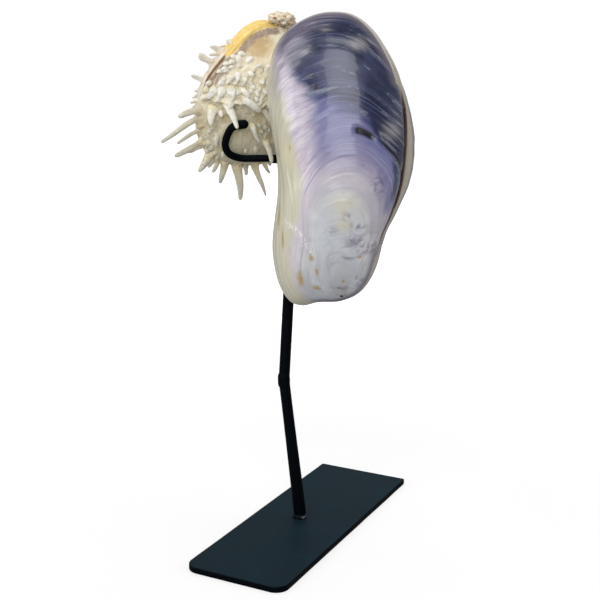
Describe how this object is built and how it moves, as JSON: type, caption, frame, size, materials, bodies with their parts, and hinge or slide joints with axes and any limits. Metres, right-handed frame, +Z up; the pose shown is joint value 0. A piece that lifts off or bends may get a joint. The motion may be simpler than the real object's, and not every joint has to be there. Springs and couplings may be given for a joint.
{
  "type": "spiny oyster shell",
  "caption": "Spiny oyster shell grown onto a closed mussel, cradled by two prongs on a bent black steel post with a flat rectangular base plate.",
  "frame": {"origin": "centre of the base plate's underside", "axes": "+Z up, from the base plate towards the shells; +Y along the base plate's long side; +X along its short side, with the shells' outer sides facing -Y"},
  "size_m": [0.1092, 0.15, 0.2515],
  "materials": {
    "stand_paint": "satin",
    "mussel_shell": "polished",
    "ligament": "satin",
    "oyster_cream": "satin",
    "oyster_orange": "satin",
    "crust": "matte"
  },
  "bodies": {
    "root": {"base_plate": "stand_paint", "base_weld": "stand_paint", "lower_post": "stand_paint", "post_weld": "stand_paint", "upper_post": "stand_paint", "front_prong": "stand_paint", "rear_prong": "stand_paint", "mussel_right_valve": "mussel_shell", "mussel_left_valve": "mussel_shell", "mussel_ligament": "ligament", "oyster_cemented_valve": "oyster_cream", "oyster_free_valve": "oyster_orange", "beak_crust": "crust"}
  },
  "joints": []
}
